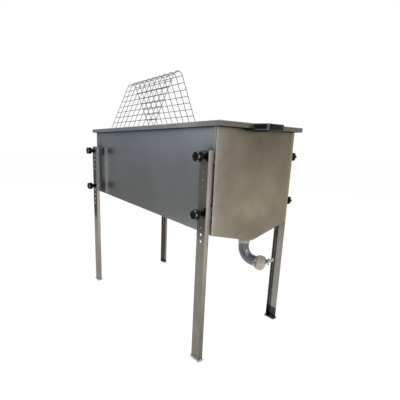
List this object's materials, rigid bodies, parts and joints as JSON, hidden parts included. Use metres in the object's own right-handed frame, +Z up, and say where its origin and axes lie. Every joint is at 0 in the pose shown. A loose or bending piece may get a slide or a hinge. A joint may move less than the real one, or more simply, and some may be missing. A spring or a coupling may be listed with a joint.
{
  "type": "uncapping tank",
  "caption": "Free-standing stainless uncapping tank: long trough with a sloping V floor, wire easel, bow handles, bolted angle legs with star knobs and a swing gate on an elbow outlet.",
  "frame": {"origin": "on the ground, under the middle of the tank", "axes": "+X to the outlet end, -Y to the near long side of the picture, +Z up"},
  "size_m": [1.086, 0.6006, 1.1479],
  "materials": {
    "wall_steel": "satin stainless sheet",
    "end_steel": "satin stainless sheet",
    "rim_steel": "satin stainless sheet, folded edge",
    "leg_steel": "satin folded stainless angle",
    "fastener_steel": "plain stainless fasteners",
    "pipe_steel": "polished stainless pipe",
    "gate_steel": "turned stainless",
    "seal_rubber": "pale food-grade rubber",
    "handle_plastic": "moulded black plastic",
    "knob_plastic": "moulded glossy black plastic",
    "wire_steel": "welded stainless wire"
  },
  "bodies": {
    "tank": {"near_wall": "wall_steel", "far_wall": "wall_steel", "drain_end_panel": "end_steel", "back_end_panel": "end_steel", "floor_sheet": "wall_steel", "rim_near": "rim_steel", "rim_far": "rim_steel", "rim_drain_end": "rim_steel", "rim_back_end": "rim_steel", "ledge_near": "wall_steel", "ledge_far": "wall_steel", "leg_brackets": "wall_steel", "captive_nuts": "fastener_steel", "leg_near_drain": "leg_steel", "leg_near_back": "leg_steel", "leg_far_back": "leg_steel", "leg_far_drain": "leg_steel", "foot_near_drain": "leg_steel", "foot_near_back": "leg_steel", "foot_far_back": "leg_steel", "foot_far_drain": "leg_steel", "handle_drain_end": "handle_plastic", "handle_back_end": "handle_plastic", "handle_screws": "fastener_steel", "outlet_socket": "pipe_steel", "outlet_coupling": "pipe_steel", "outlet_elbow": "pipe_steel", "gate_body": "gate_steel", "gate_seal": "seal_rubber", "gate_pivot_bolt": "fastener_steel", "gate_pivot_nut": "fastener_steel", "gate_clamp_bolt": "fastener_steel"},
    "easel": {"easel_hoops": "wire_steel", "easel_wires": "wire_steel"},
    "gate": {"gate_disc": "gate_steel"},
    "wing_nut": {"gate_wing_nut": "fastener_steel"},
    "knob_body_near_drain_upper": {"knob_near_drain_upper": "knob_plastic", "stud_near_drain_upper": "fastener_steel"},
    "knob_body_near_back_upper": {"knob_near_back_upper": "knob_plastic", "stud_near_back_upper": "fastener_steel"},
    "knob_body_far_back_upper": {"knob_far_back_upper": "knob_plastic", "stud_far_back_upper": "fastener_steel"},
    "knob_body_far_drain_upper": {"knob_far_drain_upper": "knob_plastic", "stud_far_drain_upper": "fastener_steel"},
    "knob_body_near_drain_lower": {"knob_near_drain_lower": "knob_plastic", "stud_near_drain_lower": "fastener_steel"},
    "knob_body_near_back_lower": {"knob_near_back_lower": "knob_plastic", "stud_near_back_lower": "fastener_steel"},
    "knob_body_far_back_lower": {"knob_far_back_lower": "knob_plastic", "stud_far_back_lower": "fastener_steel"},
    "knob_body_far_drain_lower": {"knob_far_drain_lower": "knob_plastic", "stud_far_drain_lower": "fastener_steel"}
  },
  "joints": [
    {"name": "easel_lift", "type": "slide", "parent": "tank", "child": "easel", "axis": [0, 0, 1], "range_m": [0, 0.45]},
    {"name": "gate_swing", "type": "hinge", "parent": "tank", "child": "gate", "pos_m": [0.53285, -0.035, 0.359], "axis": [1, 0, 0], "range_deg": [0, 100]},
    {"name": "wing_nut_turn", "type": "hinge", "parent": "tank", "child": "wing_nut", "pos_m": [0.53815, 0.035, 0.359], "axis": [1, 0, 0], "continuous": true},
    {"name": "knob_near_drain_upper_turn", "type": "hinge", "parent": "tank", "child": "knob_body_near_drain_upper", "pos_m": [0.4593, -0.26, 0.763], "axis": [0, -1, 0], "continuous": true},
    {"name": "knob_near_back_upper_turn", "type": "hinge", "parent": "tank", "child": "knob_body_near_back_upper", "pos_m": [-0.4317, -0.26, 0.763], "axis": [0, -1, 0], "continuous": true},
    {"name": "knob_far_back_upper_turn", "type": "hinge", "parent": "tank", "child": "knob_body_far_back_upper", "pos_m": [-0.4593, 0.26, 0.763], "axis": [0, 1, 0], "continuous": true},
    {"name": "knob_far_drain_upper_turn", "type": "hinge", "parent": "tank", "child": "knob_body_far_drain_upper", "pos_m": [0.4317, 0.26, 0.763], "axis": [0, 1, 0], "continuous": true},
    {"name": "knob_near_drain_lower_turn", "type": "hinge", "parent": "tank", "child": "knob_body_near_drain_lower", "pos_m": [0.4593, -0.26, 0.57], "axis": [0, -1, 0], "continuous": true},
    {"name": "knob_near_back_lower_turn", "type": "hinge", "parent": "tank", "child": "knob_body_near_back_lower", "pos_m": [-0.4317, -0.26, 0.57], "axis": [0, -1, 0], "continuous": true},
    {"name": "knob_far_back_lower_turn", "type": "hinge", "parent": "tank", "child": "knob_body_far_back_lower", "pos_m": [-0.4593, 0.26, 0.57], "axis": [0, 1, 0], "continuous": true},
    {"name": "knob_far_drain_lower_turn", "type": "hinge", "parent": "tank", "child": "knob_body_far_drain_lower", "pos_m": [0.4317, 0.26, 0.57], "axis": [0, 1, 0], "continuous": true}
  ]
}
